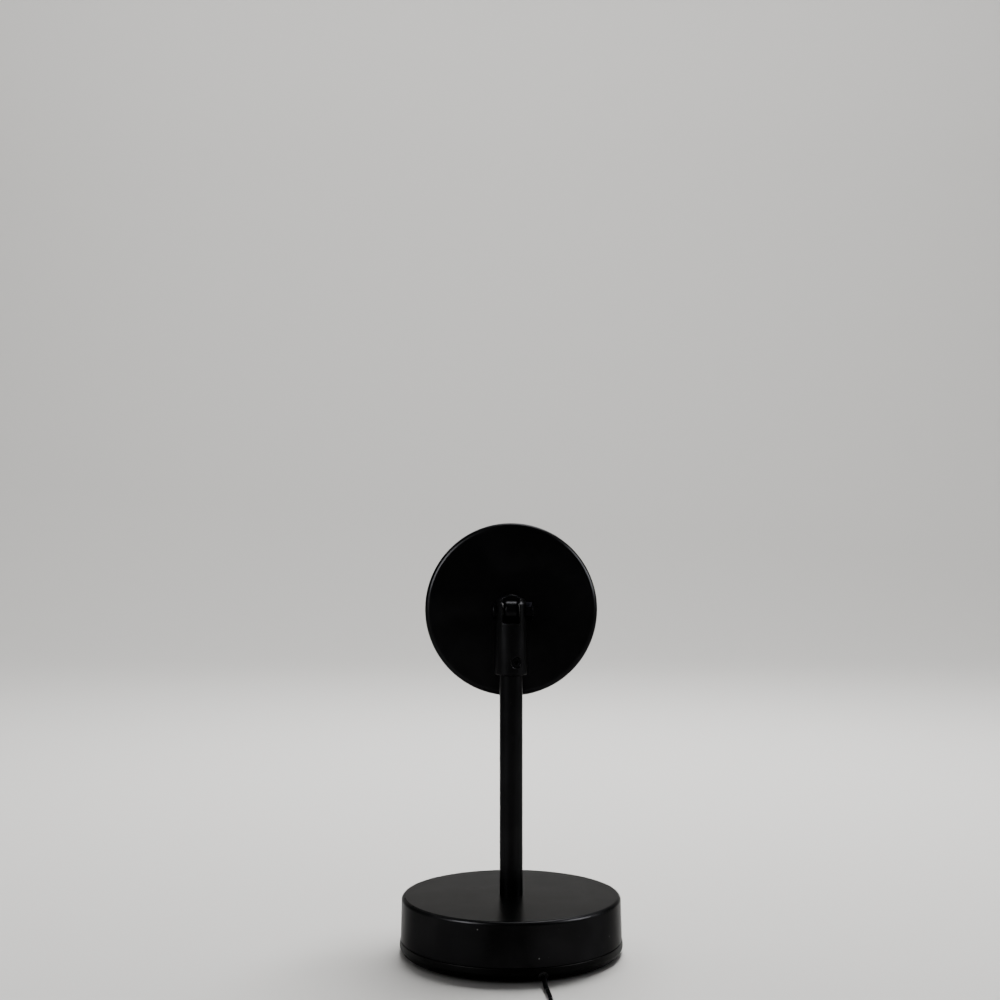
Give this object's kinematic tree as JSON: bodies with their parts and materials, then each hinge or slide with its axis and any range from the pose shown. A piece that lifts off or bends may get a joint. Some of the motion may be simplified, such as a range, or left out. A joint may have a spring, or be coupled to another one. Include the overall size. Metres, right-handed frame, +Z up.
{
  "type": "sunset projection lamp",
  "caption": "Desk lamp with a round weighted base, a slim pole, a tilting drum head with a domed lens that projects a warm disc, and a corded rocker switch and plug.",
  "frame": {"origin": "on the pole's axis, at the underside of the base pad, on the table", "axes": "+Z up along the pole, +Y the way the head's lens looks when level, +X to the right seen from behind"},
  "size_m": [0.096, 0.2105, 0.185],
  "materials": {
    "black_powder_coat": "satin black powder coat with a fine orange-peel texture",
    "black_oxide_steel": "blackened steel, slightly worn at the edges",
    "zinc_steel": "bright zinc-plated steel",
    "cast_iron": "rough grey cast iron",
    "black_moulded_plastic": "moulded black plastic with a fine spark texture",
    "black_matte_plastic": "dead matt black plastic",
    "black_pad_rubber": "thin black rubber pad",
    "black_rubber": "soft black rubber",
    "cord_jacket": "smooth satin black cord jacket",
    "black_nylon": "black nylon friction washers",
    "tie_strap": "soft black hook-and-loop strap",
    "circuit_board": "green solder mask",
    "black_component": "moulded components and solder",
    "cast_aluminium": "plain cast and turned aluminium",
    "white_board": "white solder mask on an aluminium board",
    "led_phosphor": "yellow phosphor under clear silicone",
    "wire_insulation": "red and black thin wire insulation",
    "clear_lens": "clear moulded optical plastic",
    "coated_lens": "ground glass with an amber interference coating",
    "amber_filter": "orange dichroic filter glass",
    "rocker_plastic": "glossy black plastic",
    "brass_strip": "stamped brass",
    "gold_contact": "gold-flashed contact strips",
    "plug_moulding": "black overmoulded grip with a fine texture",
    "nickel_plate": "folded nickel-plated steel sheet",
    "white_insulator": "white moulded insulator"
  },
  "bodies": {
    "stand": {"base_cover": "black_powder_coat", "base_weight": "cast_iron", "base_plate": "black_moulded_plastic", "base_pad": "black_pad_rubber", "plate_screws": "zinc_steel", "cord_grommet": "black_rubber", "cord_clamp": "zinc_steel", "clamp_screws": "zinc_steel", "base_cable": "cord_jacket", "pole": "black_powder_coat", "pole_stud": "zinc_steel", "stud_washer": "zinc_steel", "stud_nut": "zinc_steel", "joint_fork": "black_powder_coat", "grub_screw": "black_oxide_steel", "hinge_screw": "black_oxide_steel", "hinge_nut": "black_oxide_steel", "friction_washers": "black_nylon", "cord_lead": "cord_jacket", "cord_coil": "cord_jacket", "cord_tie": "tie_strap", "cord_tail": "cord_jacket", "cord_end": "cord_jacket", "switch_base": "black_moulded_plastic", "switch_cover": "black_moulded_plastic", "switch_terminals": "brass_strip", "switch_screws": "zinc_steel", "plug_grip": "plug_moulding", "plug_shell": "nickel_plate", "plug_tongue": "white_insulator", "plug_contacts": "gold_contact"},
    "head": {"joint_tongue": "black_powder_coat", "tongue_washer": "zinc_steel", "tongue_nut": "zinc_steel", "head_shell": "black_powder_coat", "driver_board": "circuit_board", "driver_parts": "black_component", "driver_screws": "zinc_steel", "head_wire": "cord_jacket", "heat_sink": "cast_aluminium", "sink_screws": "zinc_steel", "led_board": "white_board", "led_screws": "zinc_steel", "led_chip": "led_phosphor", "led_wires": "wire_insulation", "condenser_holder": "black_matte_plastic", "condenser_lens": "clear_lens", "lens_barrel": "black_matte_plastic", "colour_filter": "amber_filter", "projection_lens": "coated_lens", "lens_gasket": "black_rubber", "front_ring": "black_powder_coat"},
    "rocker": {"switch_rocker": "rocker_plastic"}
  },
  "joints": [
    {"name": "head_tilt", "type": "hinge", "parent": "stand", "child": "head", "pos_m": [0, 0, 0.146], "axis": [1, 0, 0], "range_deg": [-8, 188]},
    {"name": "rocker_press", "type": "hinge", "parent": "stand", "child": "rocker", "pos_m": [0.012, -0.138, 0.0076], "axis": [0, 1, 0], "range_deg": [0, 16]}
  ]
}
